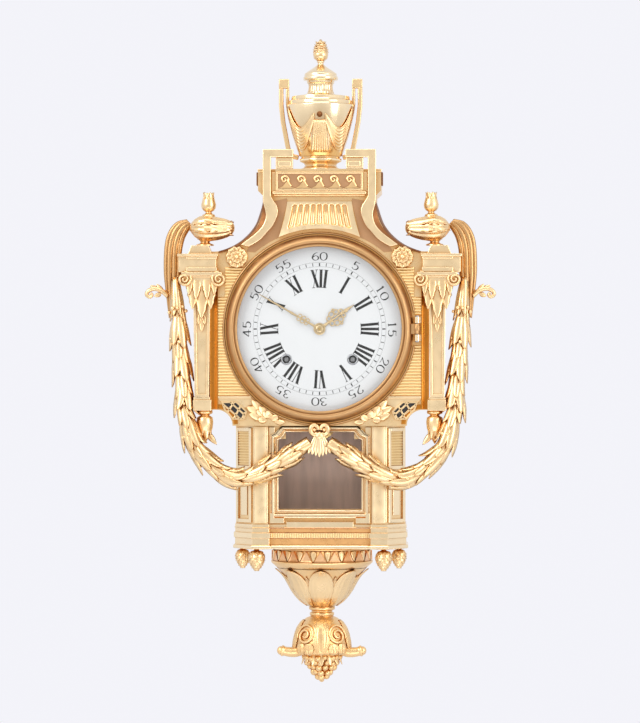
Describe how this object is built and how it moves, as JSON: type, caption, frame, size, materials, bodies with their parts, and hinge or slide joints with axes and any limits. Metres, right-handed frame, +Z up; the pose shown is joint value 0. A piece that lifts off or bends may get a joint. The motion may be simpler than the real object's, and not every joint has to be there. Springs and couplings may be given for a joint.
{
  "type": "cartel wall clock",
  "caption": "Gilt wall clock with urn crest, lamp-topped pilasters, laurel garlands, hinged glazed dial, pendulum window and a pendulum-regulated striking movement.",
  "frame": {"origin": "the point where the dial's axis meets the wall, on the rear face of the back plate", "axes": "+Z up, +X to the right of a person who faces the dial, +Y from the room toward the wall; the clock lies at Y below 0"},
  "size_m": [0.444, 0.1137, 0.802],
  "materials": {
    "gilt_bronze": "matt and burnished mercury gilding",
    "movement_brass": "satin",
    "patinated_brass": "brown patina",
    "bell_bronze": "polished",
    "steel": "polished",
    "enamel": "white enamel on copper, gloss",
    "clear_glass": "clear"
  },
  "bodies": {
    "case": {"back_plate": "patinated_brass", "case_body": "gilt_bronze", "lower_case": "gilt_bronze", "window_frame": "gilt_bronze", "window_glass": "clear_glass", "base_moulding": "gilt_bronze", "base_apron": "gilt_bronze", "base_bowl": "gilt_bronze", "terminal_scroll": "gilt_bronze", "berry_cluster": "gilt_bronze", "corner_drops": "gilt_bronze", "frieze_block": "gilt_bronze", "fluted_panel": "gilt_bronze", "key_band_left": "gilt_bronze", "key_band_right": "gilt_bronze", "urn_body": "gilt_bronze", "urn_lid": "gilt_bronze", "urn_cone": "gilt_bronze", "urn_handles": "gilt_bronze", "urn_swag": "gilt_bronze", "rib_panels": "gilt_bronze", "rosettes": "gilt_bronze", "pilaster_left": "gilt_bronze", "pilaster_right": "gilt_bronze", "lamp_left": "gilt_bronze", "lamp_right": "gilt_bronze", "drapery_left": "gilt_bronze", "drapery_right": "gilt_bronze", "garland_left": "gilt_bronze", "garland_right": "gilt_bronze", "garland_bow": "gilt_bronze", "dial": "enamel", "hinge_bracket": "gilt_bronze", "hinge_pin": "steel", "front_plate": "movement_brass", "rear_plate": "movement_brass", "plate_pillars": "movement_brass", "movement_straps": "movement_brass", "fixing_screws": "steel", "bell": "bell_bronze", "suspension_cock": "movement_brass"},
    "bezel_door": {"bezel": "gilt_bronze", "bezel_glass": "clear_glass"},
    "minute_arbor": {"centre_wheel": "movement_brass", "minute_hand": "gilt_bronze"},
    "hour_pipe": {"hour_wheel": "movement_brass", "hour_hand": "gilt_bronze"},
    "motion_wheel": {"minute_wheel": "movement_brass"},
    "second_arbor": {"intermediate_wheel": "movement_brass"},
    "going_drum": {"going_barrel": "movement_brass"},
    "going_winder": {"going_arbor": "steel"},
    "third_arbor": {"third_wheel": "movement_brass"},
    "escape_arbor": {"escape_wheel": "movement_brass"},
    "anchor": {"pallet_anchor": "steel"},
    "pendulum": {"pendulum": "movement_brass"},
    "strike_drum": {"strike_barrel": "movement_brass"},
    "strike_winder": {"strike_arbor": "steel"},
    "pin_arbor": {"pin_wheel": "movement_brass"},
    "count_disc": {"count_wheel": "movement_brass"},
    "hammer": {"hammer": "steel"}
  },
  "joints": [
    {"name": "bezel_hinge", "type": "hinge", "parent": "case", "child": "bezel_door", "pos_m": [0.122, -0.107, 0], "axis": [0, 0, 1], "range_deg": [0, 105]},
    {"name": "minute_arbor_turn", "type": "hinge", "parent": "case", "child": "minute_arbor", "pos_m": [0, -0.07, 0], "axis": [0, 1, 0], "continuous": true},
    {"name": "hour_pipe_turn", "type": "hinge", "parent": "case", "child": "hour_pipe", "pos_m": [0, -0.07, 0], "axis": [0, 1, 0], "continuous": true},
    {"name": "motion_wheel_turn", "type": "hinge", "parent": "case", "child": "motion_wheel", "pos_m": [-0.018, -0.07, 0], "axis": [0, 1, 0], "continuous": true},
    {"name": "second_arbor_turn", "type": "hinge", "parent": "case", "child": "second_arbor", "pos_m": [0.02265, -0.07, -0.00935], "axis": [0, 1, 0], "continuous": true},
    {"name": "going_drum_turn", "type": "hinge", "parent": "case", "child": "going_drum", "pos_m": [0.0415, -0.07, -0.038], "axis": [0, 1, 0], "continuous": true},
    {"name": "third_arbor_turn", "type": "hinge", "parent": "case", "child": "third_arbor", "pos_m": [0, -0.07, 0.02], "axis": [0, 1, 0], "continuous": true},
    {"name": "escape_arbor_turn", "type": "hinge", "parent": "case", "child": "escape_arbor", "pos_m": [0, -0.07, 0.0362], "axis": [0, 1, 0], "continuous": true},
    {"name": "going_winding", "type": "hinge", "parent": "case", "child": "going_winder", "pos_m": [0.0415, -0.07, -0.038], "axis": [0, 1, 0], "range_deg": [0, 1800]},
    {"name": "strike_drum_turn", "type": "hinge", "parent": "case", "child": "strike_drum", "pos_m": [-0.0415, -0.07, -0.038], "axis": [0, 1, 0], "continuous": true},
    {"name": "pin_arbor_turn", "type": "hinge", "parent": "case", "child": "pin_arbor", "pos_m": [-0.02265, -0.07, -0.00935], "axis": [0, 1, 0], "continuous": true},
    {"name": "count_disc_turn", "type": "hinge", "parent": "case", "child": "count_disc", "pos_m": [-0.03997, -0.07, -0.02667], "axis": [0, 1, 0], "continuous": true},
    {"name": "strike_winding", "type": "hinge", "parent": "case", "child": "strike_winder", "pos_m": [-0.0415, -0.07, -0.038], "axis": [0, 1, 0], "range_deg": [0, 1800]},
    {"name": "pendulum_swing", "type": "hinge", "parent": "case", "child": "pendulum", "pos_m": [0, -0.033, 0.052], "axis": [0, 1, 0], "range_deg": [-4, 4]},
    {"name": "anchor_rock", "type": "hinge", "parent": "case", "child": "anchor", "pos_m": [0, -0.069, 0.052], "axis": [0, 1, 0], "range_deg": [-4, 4]},
    {"name": "hammer_lift", "type": "hinge", "parent": "case", "child": "hammer", "pos_m": [-0.066, -0.03, -0.006], "axis": [0, 1, 0], "range_deg": [-14, 0], "stiffness_Nm_per_rad": 0.05, "springref_deg": 5.73}
  ],
  "couplings": [
    {"joint": "hour_pipe_turn", "follows": "minute_arbor_turn", "ratio": 0.083333},
    {"joint": "motion_wheel_turn", "follows": "minute_arbor_turn", "ratio": -0.33333},
    {"joint": "second_arbor_turn", "follows": "minute_arbor_turn", "ratio": -0.16667},
    {"joint": "going_drum_turn", "follows": "minute_arbor_turn", "ratio": 0.027778},
    {"joint": "third_arbor_turn", "follows": "minute_arbor_turn", "ratio": -9},
    {"joint": "escape_arbor_turn", "follows": "minute_arbor_turn", "ratio": 72},
    {"joint": "pin_arbor_turn", "follows": "strike_drum_turn", "ratio": -6},
    {"joint": "count_disc_turn", "follows": "strike_drum_turn", "ratio": 0.53333},
    {"joint": "anchor_rock", "follows": "pendulum_swing", "ratio": 1}
  ]
}
